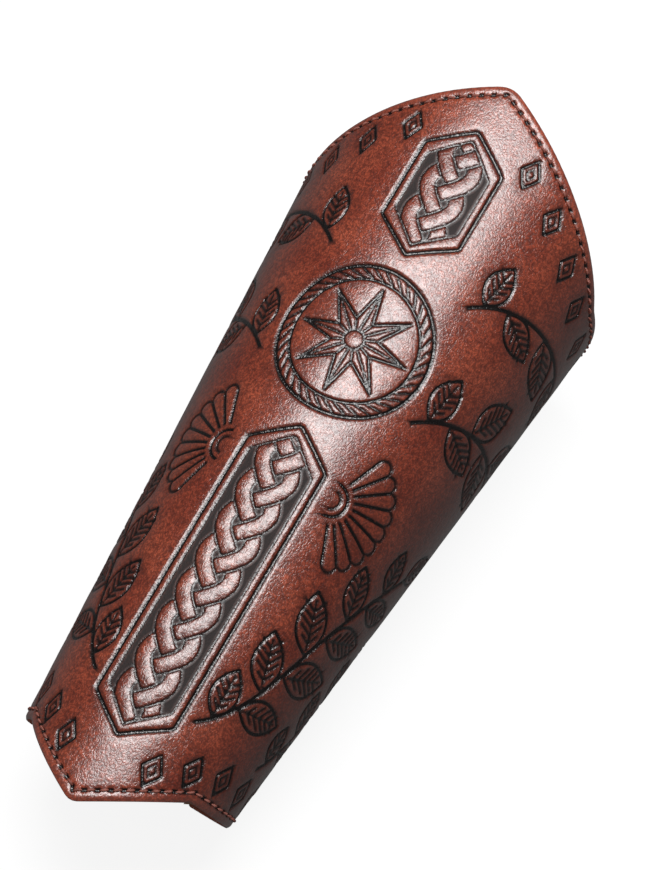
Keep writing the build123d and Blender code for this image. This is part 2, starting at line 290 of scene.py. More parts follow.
strands = []
for panel, (low, high) in enumerate(PANELS):
    cut(evenly(panel_outline(low, high, 0), LINE_STEP), BOLD, mirrored=False)
    cut(evenly(panel_outline(low, high, BAND_INNER), LINE_STEP), FINE, mirrored=False)
    v = np.arange(low, high, STRAND_STEP)
    for number in range(STRANDS):
        phase = 2 * math.pi * ((v - low) / PLAIT_LENGTH + number / STRANDS)
        strands.append((np.stack([SWING * np.sin(phase), v], -1), np.sin(2 * phase), panel))
strand_spots = np.vstack([line for line, _, _ in strands])
strand_lifts = [(which, rise) for which, (_, lift, _) in enumerate(strands) for rise in lift]
strand_tree = tree_of(strand_spots)
for which, (line, lift, panel) in enumerate(strands):
    for side in (-1, 1):
        border = line + side * STRAND / 2 * square_to(line)
        inside = in_panel(border, *PANELS[panel], BAND_INNER) > BORDER_INSIDE
        run = []
        for (u, v), rise, shown in zip(border, lift, inside):
            near = [strand_lifts[i] for _, i, _ in strand_tree.find_range((u, v, 0), STRAND / 2 - BORDER_HIDDEN)]
            under = any(other != which and other_rise > rise for other, other_rise in near)
            if shown and not under:
                run.append((u, v))
            if (not shown or under) and run:
                if len(run) > SHORTEST_RUN:
                    cut(run, FINE, mirrored=False)
                run = []
        if len(run) > SHORTEST_RUN:
            cut(run, FINE, mirrored=False)

# The lozenge stamps, set in a row a little inside each end: degrees from the middle, and the inset
LOZENGE_LONG, LOZENGE_WIDE, LOZENGE_INNER = 5.0, 3.2, 0.42
ELBOW_STAMPS = ((22, 11.5), (37, 11.5), (52, 11.5), (67, 11), (84, 11), (101, 11), (118, 11))
WRIST_STAMPS = ((24, -10), (42, -10), (60, -10), (79, -10), (98, -10), (117, -10))
for edge, stamps in ((elbow_edge, ELBOW_STAMPS), (wrist_edge, WRIST_STAMPS)):
    for from_middle, inset in stamps:
        for angle in (from_middle, -from_middle):
            place = on_blank(angle, edge(angle) - inset)
            upright = place + (0, BLANK_RADIUS)
            upright = upright / np.hypot(*upright)
            level = np.array((upright[1], -upright[0]))
            for size in (1.0, LOZENGE_INNER):
                long, wide = LOZENGE_LONG * size * upright, LOZENGE_WIDE * size * level
                lozenge = [place - long, place + wide, place + long, place - wide, place - long]
                cut(lozenge, MEDIUM if size == 1 else FINE, mirrored=False)

# The fans, at the sides of the long panel: a round foot, ribs, and a scallop at the end of each gap
FAN_PLACE, FAN_REACH, FAN_FOOT, FAN_INNER_FOOT = np.array((18.0, -12.0)), 18.4, 5.0, 2.8
FAN_FROM, FAN_TO, FAN_STEP = -67, 68, 15
RIB_GAP, SCALLOP = 2.4, 2.4
for heading in range(FAN_FROM, FAN_TO + 1, FAN_STEP):
    ahead = towards(math.radians(heading))
    cut([FAN_PLACE + ahead * (FAN_FOOT + RIB_GAP), FAN_PLACE + ahead * FAN_REACH], MEDIUM)
    if heading < FAN_TO:
        middle = heading + FAN_STEP / 2
        scallop = FAN_PLACE + FAN_REACH * towards(math.radians(middle))
        cut(arc(scallop, SCALLOP, middle - 86, middle + 86, 14), FINE)
cut(arc(FAN_PLACE, FAN_FOOT, -84, 84, 12), MEDIUM)
cut(arc(FAN_PLACE, FAN_INNER_FOOT, -80, 80, 20), FINE)

# The branches: a bent stem with pointed leaves in turn, each with its midrib and even veins. A leaf is
# broadest a little under its middle, and the leaves grow smaller to both sides of the stem's largest.
LEAF_ROOM, END_ROOM, LAST_ANGLE = 2.1, 6, 136
STEM_GAP, BROADEST = 0.8, 0.42
VEINS_FROM, VEINS_TO, VEIN_STEP, VEIN_REACH, VEIN_RISE, VEIN_GAP = 0.2, 0.78, 2.3, 0.78, 0.75, 0.4
MIDRIB_FROM, MIDRIB_TO = 0.08, 0.86
STEM_POINTS, LEAF_LEAN, FIRST_LEAF, LAST_LEAF = 90, math.radians(46), 0.05, 0.96
LARGEST_AT, LEAF_TAPER, TIP_LEAF = 0.4, 0.30, 0.8


def leaf(base, heading, length, breadth):
    """Cuts a leaf, unless it would touch what is cut already or stand too near an edge of the blank."""
    ahead = towards(heading)
    aside = np.array((-ahead[1], ahead[0]))
    base = np.array(base) + ahead * STEM_GAP
    tip = base + ahead * length
    middle = base + ahead * length * BROADEST
    borders = [bow(base, middle + side * aside * breadth, tip) for side in (-1, 1)]
    others = np.vstack(taken)
    # The first points of each border are left out of the test, because they start at the stem
    test = np.vstack([border[4:] for border in borders])
    gaps = np.hypot(test[:, 0, None] - others[None, :, 0], test[:, 1, None] - others[None, :, 1])
    turn, level = round_arm(test)
    # Each end is tested where it is nearer, because the leaf is cut on both halves of the blank
    past_end = (level > elbow_edge(-turn) - END_ROOM) | (level < wrist_edge(turn) + END_ROOM)
    if gaps.min() < LEAF_ROOM or past_end.any() or turn.max() > LAST_ANGLE:
        return
    for side, border in zip((-1, 1), borders):
        cut(border, MEDIUM)
        for share in np.arange(VEINS_FROM, VEINS_TO, VEIN_STEP / length):
            foot = base + ahead * length * share
            half = breadth * 2 * share * (1 - share) * VEIN_REACH
            cut([foot + side * aside * VEIN_GAP, foot + ahead * half * VEIN_RISE + side * aside * half], FINE)
    cut([base + ahead * length * MIDRIB_FROM, base + ahead * length * MIDRIB_TO], FINE)


def branch(points, spacing, length, breadth):
    """Cuts a stem, bent between four points, with a leaf to each side of it in turn and one at its end."""
    t = np.linspace(0, 1, STEM_POINTS)[:, None]
    a, b, c, d = (np.array(p, float) for p in points)
    stem = a * (1 - t) ** 3 + 3 * b * t * (1 - t) ** 2 + 3 * c * t**2 * (1 - t) + d * t**3
    run = np.concatenate([[0], np.cumsum(np.hypot(*np.diff(stem, axis=0).T))])
    for number, at in enumerate(np.arange(FIRST_LEAF * run[-1], LAST_LEAF * run[-1], spacing / 2)):
        k = int(np.searchsorted(run, at))
        along = stem[min(k + 1, STEM_POINTS - 1)] - stem[max(k - 1, 0)]
        lean = LEAF_LEAN if number % 2 == 0 else -LEAF_LEAN
        small = 1 - LEAF_TAPER * abs(2 * at / run[-1] - 2 * LARGEST_AT)
        leaf(stem[k], math.atan2(along[1], along[0]) + lean, length * small, breadth * small)
    end = stem[-1] - stem[-3]
    leaf(stem[-1], math.atan2(end[1], end[0]), length * TIP_LEAF, breadth * TIP_LEAF)
    cut(evenly(stem, LINE_STEP), BOLD)


branch(((24, 58), (38, 70), (64, 72), (97, 50)), 18, 19, 11)
branch(((27, 20), (46, 36), (78, 32), (100, 2)), 18, 20, 12)
branch(((17, -86), (36, -72), (34, -42), (60, -16)), 17, 19, 11)
branch(((46, -86), (62, -72), (62, -52), (84, -32)), 15, 15, 9)

# The stitch holes: an awl pricks the leather at both ends of each stitch of the solids' seam
HOLE_REACH, HOLE_WIDE, HOLE_DEEP = 1.45, 0.95, 0.60
seam_mesh = bmesh.new()
seam_mesh.from_mesh(frame["nodes"]["edge_stitching"].data)
bmesh.ops.remove_doubles(seam_mesh, verts=seam_mesh.verts, dist=1e-6)


def loose_parts(mesh):
    """The points of each separate solid in a mesh."""
    left, parts = set(mesh.verts), []
    while left:
        reached = [left.pop()]
        for vert in reached:
            for edge in vert.link_edges:
                other = edge.other_vert(vert)
                if other in left:
                    left.remove(other)
                    reached.append(other)
        parts.append(np.array([vert.co for vert in reached]))
    return parts


def flat_again(rest_points):
    """Points of the piece at rest, in metres, laid back on the flat blank: U, V and the height over it."""
    x, y, z = ((np.asarray(rest_points) - np.array(arm_origin)) @ arm_axes.T / MM).T
    beyond = (np.hypot(x, z) - MIDDLE_RADIUS - SLOPE * y) * COS_CONE
    return np.column_stack([on_blank(np.degrees(np.arctan2(x, z)), y + beyond * SIN_CONE), beyond])


# Each stitch as its middle and its direction, which is turned to point to the right, or else up
stitches = []
for part in loose_parts(seam_mesh):
    spots = flat_again(part)
    middle = spots.mean(0)
    longest = np.linalg.svd(spots[:, :2] - middle[:2])[2][0]
    stitches.append((middle[:2], longest * (1 if longest[0] + 0.01 * longest[1] > 0 else -1)))
seam_mesh.free()
holes = np.array([middle + side * HOLE_REACH * ahead for middle, ahead in stitches for side in (-1, 1)])

# The mesh: points in rows along each cut, rings round each hole, a loose grid in between, joined by
# triangles, pressed in by each point's distance from the cuts, and wrapped round the arm. Rows stand at
# shares of a cut's width from its middle, and inside the blank's edge at the insets given.
ROW_STEP, MERGE, GRID, RIM_STEP, CUT_STEP = 0.85, 0.23, 3.0, 0.2, 0.15
BROAD_ROWS = (0, -0.3, 0.3, -0.55, 0.55, -0.95, 0.95)
FINE_ROWS = (0, -0.42, 0.42, -0.95, 0.95)
HOLE_RINGS = ((0, 1), (0.3, 6), (0.55, 8), (0.95, 8))
EDGE_ROWS = (0.25, 0.55, 0.95, 1.5, 2.2, 3.0, 3.8, 4.6)
EDGE_CLEAR, INNER_CLEAR = 0.22, 2.4
rows = []
for line, width in cuts:
    even = evenly(line, ROW_STEP)
    across = square_to(even)
    for share in BROAD_ROWS if width > FINE else FINE_ROWS:
        rows.append(even + share * width * across)
for radius, count in HOLE_RINGS:
    for k in range(count):
        rows.append(holes + radius * towards(2 * math.pi * k / count))
rim_tree = tree_of(evenly(blank_outline, RIM_STEP, closed=True))
inward = np.roll(blank_outline, -1, 0) - np.roll(blank_outline, 1, 0)
inward = np.stack([-inward[:, 1], inward[:, 0]], -1) / np.hypot(*inward.T)[:, None]
for inset in EDGE_ROWS:
    rows.append(blank_outline + inset * inward)
low, high = blank_outline.min(0), blank_outline.max(0)
across, up = np.meshgrid(np.arange(low[0], high[0], GRID), np.arange(low[1], high[1], GRID))
up[:, ::2] += GRID / 2
grid = np.stack([across.ravel(), up.ravel()], -1)
rows.append(grid)


def gap_to(tree, points):
    """Distance from each point to the nearest place of a tree."""
    return np.array([tree.find((u, v, 0))[2] for u, v in points])


def within_blank(points, inset):
    """Which points are inside the blank's outline, and further than inset from it."""
    turn, level = round_arm(points)
    roughly = (np.abs(turn) < EDGE_ANGLE) & (level < elbow_edge(turn)) & (level > wrist_edge(turn))
    return roughly & (gap_to(rim_tree, points) > inset)


places = np.vstack(rows)
places = places[within_blank(places, EDGE_CLEAR)]
near_tree = tree_of(places)
kept = np.ones(len(places), bool)
for index, (u, v) in enumerate(places):
    if kept[index]:
        for _, other, _ in near_tree.find_range((u, v, 0), MERGE):
            if other > index:
                kept[other] = False
places = places[kept]
hole_tree = tree_of(holes)
cut_trees = {}
for width in (BOLD, MEDIUM, FINE):
    cut_trees[width] = tree_of(np.vstack([evenly(line, CUT_STEP) for line, own in cuts if own == width]))

# How the face is pressed in and coloured. Shares of a cut's width: its flat floor, the wall beside it,
# and where the wax ends and fades. In millimetres: how far the shade beside a cut spreads and sinks, the
# ground between the strands, the wax of a hole, the rounded edge, the dip along the seam, and the rim,
# which is coloured lighter for its wear and for a painted sheen.
CUT_DEPTH = {BOLD: 0.62, MEDIUM: 0.52, FINE: 0.42}
CUT_FLOOR, CUT_WALL, WAX_END, WAX_FADE = 0.12, 0.52, 0.34, 0.26
SHADE_SPREAD, SHADE_SINK = 1.6, 0.10
GROUND_DEPTH, GROUND_WALL, GROUND_WAX = 0.36, 0.6, 0.94
HOLE_WAX, HOLE_WAX_FADE = 0.5, 0.35
ROUND_DEPTH, ROUND_WIDE = 0.62, 1.4
SEAM_DIP, SEAM_INSET, SEAM_DIP_WIDE = 0.12, 3.0, 1.0
RIM_WEAR_AND_SHEEN, RIM_WEAR_AND_SHEEN_FADE = 1.5, 1.3


def eased(share):
    """A share from 0 to 1 that starts and ends gently."""
    share = np.clip(share, 0, 1)
    return share * share * (3 - 2 * share)


def pressed(points):
    """How far each place of the face is pressed in, and its share of wax, rim wear with painted sheen, shade and
    matt ground.
    """
    depth, wax, shade, matt = (np.zeros(len(points)) for _ in range(4))
    for width, tree in cut_trees.items():
        gap = gap_to(tree, points)
        depth = np.maximum(depth, CUT_DEPTH[width] * (1 - eased((gap / width - CUT_FLOOR) / CUT_WALL)))
        wax = np.maximum(wax, 1 - eased((gap / width - WAX_END) / WAX_FADE))
        shade = np.maximum(shade, np.exp(-((gap / SHADE_SPREAD) ** 2)))
    gap = gap_to(strand_tree, points) - STRAND / 2
    for panel_low, panel_high in PANELS:
        inside = in_panel(points, panel_low, panel_high, BAND_INNER)
        ground = eased(gap / GROUND_WALL) * eased(inside / GROUND_WALL)
        depth = np.maximum(depth, GROUND_DEPTH * ground)
        wax = np.maximum(wax, GROUND_WAX * ground)
        matt = np.maximum(matt, ground)
    depth = depth + SHADE_SINK * shade
    gap = gap_to(hole_tree, points)
    depth = np.maximum(depth, HOLE_DEEP * (1 - eased(gap / HOLE_WIDE)))
    wax = np.maximum(wax, 1 - eased((gap - HOLE_WAX) / HOLE_WAX_FADE))
    gap = gap_to(rim_tree, points)
    depth = np.maximum(depth, ROUND_DEPTH * np.clip(1 - gap / ROUND_WIDE, 0, 1) ** 2)
    depth = depth + SEAM_DIP * np.exp(-(((gap - SEAM_INSET) / SEAM_DIP_WIDE) ** 2))
    return depth, wax, 1 - eased((gap - RIM_WEAR_AND_SHEEN) / RIM_WEAR_AND_SHEEN_FADE), shade, matt


def sheet_faces(points, outline):
    """Joins the points inside an outline with triangles; the outline's own points come first."""
    count = len(outline)
    every = np.vstack([outline, points])
    _, _, faces, origin, _, _ = geometry.delaunay_2d_cdt(
        [Vector(p) for p in every], [(k, (k + 1) % count) for k in range(count)], [], 1, 1e-7
    )
    own = [group[0] if group else -1 for group in origin]
    assert min(own) >= 0 and len(set(own)) == len(own)
    return every, [tuple(own[k] for k in face) for face in faces]


def meshed(name, points, faces):
    """A smooth object of points in the arm's frame, with its faces turned outwards."""
    mesh = bpy.data.meshes.new(name)
    mesh.from_pydata(laid(points).tolist(), [], faces)
    mesh.update()
    piece = bpy.data.objects.new(name, mesh)
    bpy.context.scene.collection.objects.link(piece)
    bpy.ops.object.select_all(action="DESELECT")
    piece.select_set(True)
    bpy.context.view_layer.objects.active = piece
    bpy.ops.object.mode_set(mode="EDIT")
    bpy.ops.mesh.select_all(action="SELECT")
    bpy.ops.mesh.normals_make_consistent(inside=False)
    bpy.ops.object.mode_set(mode="OBJECT")
    bpy.ops.object.shade_smooth()
    return piece


def with_share(piece, name, values):
    """Gives an object a value for each of its points, which its material reads by name."""
    attribute = piece.data.attributes.new(name, "FLOAT", "POINT")
    attribute.data.foreach_set("value", np.asarray(values).astype(np.float32))


# The sheet's inner side is pared back with a skiving knife at both ends, but not along the back, so that
# a thinner edge shows. The edge goes straight down to EDGE_KNEE and slants from there to the inner side,
# which stops just short of the sheet's full thickness.
SKIVE, SKIVE_CLEAR, EDGE_KNEE, INNER_SHORT = 1.2, 1.5, 0.95, 0.02
every, face_triangles = sheet_faces(places, blank_outline)
depth, wax, rim, shade, matt = pressed(every)
top = wrapped(every, -depth)
at_end = np.abs(round_arm(blank_outline)[0]) < EDGE_ANGLE - SKIVE_CLEAR
skived = np.where(at_end, SKIVE, 0.0)[:, None] * inward
flat_inner, inner_triangles = sheet_faces(grid[within_blank(grid, INNER_CLEAR)], blank_outline + skived)
bottom = wrapped(flat_inner, np.full(len(flat_inner), INNER_SHORT - LEATHER))
edge_row = wrapped(blank_outline, np.full(len(blank_outline), -EDGE_KNEE))
count = len(blank_outline)
points = np.vstack([top, edge_row, bottom])
first_edge, first_bottom = len(top), len(top) + count
faces = list(face_triangles) + [tuple(first_bottom + k for k in face[::-1]) for face in inner_triangles]
for k in range(count):
    after = (k + 1) % count
    faces.append((after, k, first_edge + k, first_edge + after))
    faces.append((first_edge + after, first_edge + k, first_bottom + k, first_bottom + after))
tooled_face = meshed("tooled_face", points, faces)

# Painted shade: the flanks are coloured darker from 30 degrees off the middle, for the shade that falls
# on them. Edge and inner side are raw and matt.
PAINTED_FLANK_SHADE, PAINTED_FLANK_SHADE_FROM, PAINTED_FLANK_SHADE_OVER = 0.78, 30, 50
painted_flank_shade = PAINTED_FLANK_SHADE * eased((np.abs(round_arm(every)[0]) - PAINTED_FLANK_SHADE_FROM) / PAINTED_FLANK_SHADE_OVER)
raw = np.zeros(len(top))
rest = len(points) - len(top)
shares = {
    "wax": (wax, 0), "rim": (rim, 0), "shade": (shade, 0), "painted_flank_shade": (painted_flank_shade, 0),
    "matt": (matt, 1), "raw": (raw, 1),
}
for name, (values, beyond) in shares.items():
    with_share(tooled_face, name, np.concatenate([values, np.full(rest, beyond)]))


def colour(code):
    """An sRGB hex value as a linear colour."""
    shares = [int(code[k : k + 2], 16) / 255 for k in (1, 3, 5)]
    return tuple(s / 12.92 if s <= 0.04045 else ((s + 0.055) / 1.055) ** 2.4 for s in shares) + (1.0,)


def add(material, kind, links=(), **settings):
    """Adds a node to a material: settings go to its properties or inputs, links are (input, output socket)."""
    node = material.node_tree.nodes.new(kind)
    for key, value in settings.items():
        if key.startswith("in_"):
            name = key[3:]
            node.inputs[int(name) if name.isdigit() else name.replace("_", " ")].default_value = value
        elif key == "stops":
            for element, (place, code) in zip(node.color_ramp.elements, value):
                element.position, element.color = place, colour(code)
        else:
            setattr(node, key, value)
    for target, source in links:
        material.node_tree.links.new(source, node.inputs[target])
    return node


def new_material(name):
    """A material without nodes."""
    material = bpy.data.materials.new(name)
    material.use_nodes = True
    material.node_tree.nodes.clear()
    return material


# Coated split leather, grain embossed by a roller, hand-antiqued: a glossy red-brown with near-black wax
# in every cut. Its pebbles are 0.53 mm across, 19 in 10 mm, and nearly twice as long, slantwise; the wax
# darkens the valleys between. Creases are 1.1 mm apart, specks 1.4 mm, clouds of dye 18 mm.
leather = new_material("coated_leather_embossed_antiqued")
spot = add(leather, "ShaderNodeTexCoord").outputs["Object"]
clouds = add(
    leather, "ShaderNodeTexNoise", [("Vector", spot)], in_Scale=5.5 / (100 * MM), in_Detail=4.0, in_Roughness=0.6
)
mottle = add(
    leather, "ShaderNodeTexNoise", [("Vector", spot)], in_Scale=7 / (10 * MM), in_Detail=4.0, in_Roughness=0.65
)
warp = add(leather, "ShaderNodeTexNoise", [("Vector", spot)], in_Scale=4 / (10 * MM), in_Detail=2.0)
warped = add(
    leather, "ShaderNodeMix", [(4, spot), (5, warp.outputs["Color"])], data_type="VECTOR", in_0=0.003
)
slanted = add(
    leather, "ShaderNodeMapping", [("Vector", warped.outputs[1])],
    in_Rotation=(0.3, 0.0, -0.9), in_Scale=(1.0, 0.55, 1.0),
)
pebbles = add(
    leather, "ShaderNodeTexVoronoi", [("Vector", slanted.outputs[0])],
    feature="SMOOTH_F1", in_Scale=19 / (10 * MM), in_Smoothness=0.35,
)
creases = add(
    leather, "ShaderNodeTexVoronoi", [("Vector", slanted.outputs[0])],
    feature="DISTANCE_TO_EDGE", in_Scale=9 / (10 * MM),
)
dye = add(
    leather, "ShaderNodeValToRGB", [("Fac", clouds.outputs["Fac"])], stops=((0.30, "#7E2F1C"), (0.72, "#A84F35"))
)
specks = add(
    leather, "ShaderNodeValToRGB", [("Fac", mottle.outputs["Fac"])], stops=((0.34, "#BCADAA"), (0.60, "#FFFFFF"))
)
speckled = add(
    leather, "ShaderNodeMix", [(6, dye.outputs["Color"]), (7, specks.outputs["Color"])],
    data_type="RGBA", blend_type="MULTIPLY", in_0=1.0,
)
valley = add(
    leather, "ShaderNodeMapRange", [(0, pebbles.outputs["Distance"])], in_1=0.30, in_2=0.62, in_3=0.0, in_4=0.55
)
mixed = add(
    leather, "ShaderNodeMix", [(0, valley.outputs[0]), (6, speckled.outputs[2])],
    data_type="RGBA", in_7=colour("#2E100B"),
)
share_of = {name: add(leather, "ShaderNodeAttribute", attribute_name=name).outputs["Fac"] for name in shares}
antiqued = add(leather, "ShaderNodeMath", [(0, share_of["shade"])], operation="MULTIPLY", in_1=0.42)
# Painted sheen: the rim is made lighter, partly for its wear and partly for the highlight on its rounded edge
rim_wear_and_sheen = add(leather, "ShaderNodeMath", [(0, share_of["rim"])], operation="MULTIPLY", in_1=0.12)
# Each layer of colour over the last: painted shade on the flanks, wax rubbed in beside the cuts, wear at
# the rim with a painted sheen, wax in the cuts, and the raw edge
coloured = mixed
for share, code in (
    (share_of["painted_flank_shade"], "#33140E"),
    (antiqued.outputs[0], "#34140E"),
    (rim_wear_and_sheen.outputs[0], "#9A5B4E"),
    (share_of["wax"], "#080404"),
    (share_of["raw"], "#8A4530"),
):
    links = [(0, share), (6, coloured.outputs[2])]
    coloured = add(leather, "ShaderNodeMix", links, data_type="RGBA", in_7=colour(code))
crease_line = add(
    leather, "ShaderNodeMapRange", [(0, creases.outputs["Distance"])], in_1=0.0, in_2=0.3, in_3=0.0, in_4=0.45
)
grain = add(leather, "ShaderNodeMath", [(0, pebbles.outputs["Distance"])], operation="MULTIPLY", in_1=-1.8)
relief = add(leather, "ShaderNodeMath", [(0, crease_line.outputs[0]), (1, grain.outputs[0])], operation="ADD")
fine_relief = add(
    leather, "ShaderNodeMath", [(0, mottle.outputs["Fac"]), (1, relief.outputs[0])], operation="ADD"
)
bump = add(
    leather, "ShaderNodeBump", [("Height", fine_relief.outputs[0])], in_Strength=0.58, in_Distance=0.09 * MM
)
# The lacquer is uneven in gloss, and missing where the ground is matted or wax fills a cut
gloss = add(
    leather, "ShaderNodeMapRange", [(0, mottle.outputs["Fac"])], in_1=0.3, in_2=0.7, in_3=0.36, in_4=0.27
)
dull = add(leather, "ShaderNodeMix", [(0, share_of["matt"]), (2, gloss.outputs[0])], in_3=0.85)
bare = add(leather, "ShaderNodeMath", [(0, share_of["matt"]), (1, share_of["wax"])], operation="MAXIMUM")
lacquer = add(leather, "ShaderNodeMapRange", [(0, bare.outputs[0])], in_3=0.48, in_4=0.0)
shader = add(
    leather, "ShaderNodeBsdfPrincipled",
    [
        ("Base Color", coloured.outputs[2]),
        ("Normal", bump.outputs[0]),
        ("Roughness", dull.outputs[0]),
        ("Coat Weight", lacquer.outputs[0]),
    ],
    in_Coat_Roughness=0.26, in_IOR=1.65,
)
add(leather, "ShaderNodeOutputMaterial", [("Surface", shader.outputs[0])])
tooled_face.data.materials.append(leather)
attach(tooled_face, "cone")
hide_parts("outer_leather")


# Stitching: waxed polyester cord, saddle-stitched. Each stitch is a fat strand pulled down into the awl
# holes at both of its ends, and lies a little aslant, as the two needles leave it.
THREAD_LONG, THREAD_WIDE, THREAD_SLANT = 1.4, 0.4, math.radians(6)
THREAD_CROWN, THREAD_DIP, THREAD_TURNS = 0.12, 0.62, 2.2
bpy.ops.mesh.primitive_uv_sphere_add(segments=8, ring_count=7, radius=1.0)
pattern = bpy.context.object
bpy.ops.object.mode_set(mode="EDIT")
bpy.ops.mesh.select_all(action="SELECT")
bpy.ops.transform.rotate(value=math.radians(90), orient_axis="Y", center_override=(0, 0, 0))
bpy.ops.transform.resize(value=(THREAD_LONG, THREAD_WIDE, THREAD_WIDE))
bpy.ops.object.mode_set(mode="OBJECT")
along_one, across_one, up_one = np.array([vert.co for vert in pattern.data.vertices]).T
strand_faces = [tuple(face.vertices) for face in pattern.data.polygons]
bpy.data.objects.remove(pattern)
height_one = up_one + THREAD_CROWN - THREAD_DIP * (along_one / THREAD_LONG) ** 2
twist_one = THREAD_TURNS * along_one / THREAD_LONG + np.arctan2(up_one, across_one) / (2 * math.pi)
slant = np.array([towards(THREAD_SLANT), towards(THREAD_SLANT + math.pi / 2)]).T
thread_points, thread_faces = [], []
for middle, ahead in stitches:
    ahead = slant @ ahead
    aside = np.array((-ahead[1], ahead[0]))
    flat = middle + along_one[:, None] * ahead + across_one[:, None] * aside
    first = len(thread_points) * len(along_one)
    thread_points.append(wrapped(flat, height_one))
    thread_faces += [tuple(first + k for k in face) for face in strand_faces]
seam_thread = meshed("seam_thread", np.vstack(thread_points), thread_faces)
with_share(seam_thread, "twist", np.tile(twist_one, len(stitches)))
# Waxed polyester cord, two-ply: its twist shows as fine slanting ridges, its loose fibres as patches
# 1.1 mm apart, and the wax gives a soft sheen
PLIES = 2
thread = new_material("waxed_polyester_cord")
turns = add(thread, "ShaderNodeAttribute", attribute_name="twist")
ridge_turn = add(
    thread, "ShaderNodeMath", [(0, turns.outputs["Fac"])], operation="MULTIPLY", in_1=2 * math.pi * PLIES
)
ridges = add(thread, "ShaderNodeMath", [(0, ridge_turn.outputs[0])], operation="SINE")
spot = add(thread, "ShaderNodeTexCoord").outputs["Object"]
fuzz = add(thread, "ShaderNodeTexNoise", [("Vector", spot)], in_Scale=9 / (10 * MM), in_Detail=3.0)
cord_tone = add(
    thread, "ShaderNodeValToRGB", [("Fac", fuzz.outputs["Fac"])], stops=((0.3, "#5E2B20"), (0.7, "#96594C"))
)
bump = add(thread, "ShaderNodeBump", [("Height", ridges.outputs[0])], in_Strength=0.5, in_Distance=0.08 * MM)
shader = add(
    thread, "ShaderNodeBsdfPrincipled",
    [("Base Color", cord_tone.outputs["Color"]), ("Normal", bump.outputs[0])], in_Roughness=0.45,
)
add(thread, "ShaderNodeOutputMaterial", [("Surface", shader.outputs[0])])
seam_thread.data.materials.append(thread)
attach(seam_thread, "cone")
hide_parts("edge_stitching")


# Stiffener: a sheet of fibre board, glued between face and lining, that keeps the cone round. Only its
# edge shows, cut clean and painted dark with the leather's. Its fibres clump 1.7 mm apart.
def give_slot(slot_name, material):
    """Gives a material to the solids that have this slot in the record."""
    for row in frame["record"]["subparts"]:
        if row["material_slot"] == slot_name:
            for slot in frame["nodes"][row["node"]].material_slots:
                slot.material = material


board = new_material("fibre_board_edge_painted")
spot = add(board, "ShaderNodeTexCoord").outputs["Object"]
fibres = add(
    board, "ShaderNodeTexNoise", [("Vector", spot)], in_Scale=6 / (10 * MM), in_Detail=6.0, in_Roughness=0.7
)
board_tone = add(
    board, "ShaderNodeValToRGB", [("Fac", fibres.outputs["Fac"])], stops=((0.3, "#2A1913"), (0.7, "#4A3024"))
)
bump = add(board, "ShaderNodeBump", [("Height", fibres.outputs["Fac"])], in_Strength=0.4, in_Distance=0.1 * MM)
shader = add(
    board, "ShaderNodeBsdfPrincipled",
    [("Base Color", board_tone.outputs["Color"]), ("Normal", bump.outputs[0])], in_Roughness=0.62,
)
add(board, "ShaderNodeOutputMaterial", [("Surface", shader.outputs[0])])
give_slot("fibre_board", board)


# Lining: a thin split leather, glued in with its soft side to the arm. Its nap is brushed in patches
# about 26 mm wide, so it is matt and uneven. The nap's tufts are 0.6 mm apart.
split = new_material("split_leather_napped")
spot = add(split, "ShaderNodeTexCoord").outputs["Object"]
nap = add(
    split, "ShaderNodeTexNoise", [("Vector", spot)], in_Scale=16 / (10 * MM), in_Detail=4.0, in_Roughness=0.75
)
patches = add(split, "ShaderNodeTexNoise", [("Vector", spot)], in_Scale=3.8 / (100 * MM), in_Detail=3.0)
both_naps = add(split, "ShaderNodeMix", [(2, nap.outputs["Fac"]), (3, patches.outputs["Fac"])], in_0=0.5)
split_tone = add(
    split, "ShaderNodeValToRGB", [("Fac", both_naps.outputs[0])], stops=((0.36, "#80563C"), (0.64, "#B78A68"))
)
bump = add(split, "ShaderNodeBump", [("Height", nap.outputs["Fac"])], in_Strength=0.7, in_Distance=0.2 * MM)
shader = add(
    split, "ShaderNodeBsdfPrincipled",
    [("Base Color", split_tone.outputs["Color"]), ("Normal", bump.outputs[0])],
    in_Roughness=0.88, in_Sheen_Weight=0.25, in_Sheen_Roughness=0.5,
)
add(split, "ShaderNodeOutputMaterial", [("Surface", shader.outputs[0])])
give_slot("lining_leather", split)


# Lace tabs: strips of belt leather folded round the ring's bar and riveted, dyed through, waxed and
# rubbed at the edges. Their pebbles are 0.8 mm across, and the dye clouds 8 mm.
strap = new_material("belt_leather_dyed_waxed")
spot = add(strap, "ShaderNodeTexCoord").outputs["Object"]
clouds = add(
    strap, "ShaderNodeTexNoise", [("Vector", spot)], in_Scale=12 / (100 * MM), in_Detail=5.0, in_Roughness=0.6
)
strap_tone = add(
    strap, "ShaderNodeValToRGB", [("Fac", clouds.outputs["Fac"])], stops=((0.3, "#572A1C"), (0.72, "#8A4C36"))
)
pebbles = add(
    strap, "ShaderNodeTexVoronoi", [("Vector", spot)],
    feature="SMOOTH_F1", in_Scale=13 / (10 * MM), in_Smoothness=0.6,
)
bump = add(
    strap, "ShaderNodeBump", [("Height", pebbles.outputs["Distance"])], in_Strength=0.5, in_Distance=0.1 * MM
)
gloss = add(
    strap, "ShaderNodeMapRange", [(0, clouds.outputs["Fac"])], in_1=0.3, in_2=0.7, in_3=0.5, in_4=0.36
)
shader = add(
    strap, "ShaderNodeBsdfPrincipled",
    [("Base Color", strap_tone.outputs["Color"]), ("Normal", bump.outputs[0]), ("Roughness", gloss.outputs[0])],
    in_IOR=1.45,
)
add(strap, "ShaderNodeOutputMaterial", [("Surface", shader.outputs[0])])
give_slot("tab_leather", strap)


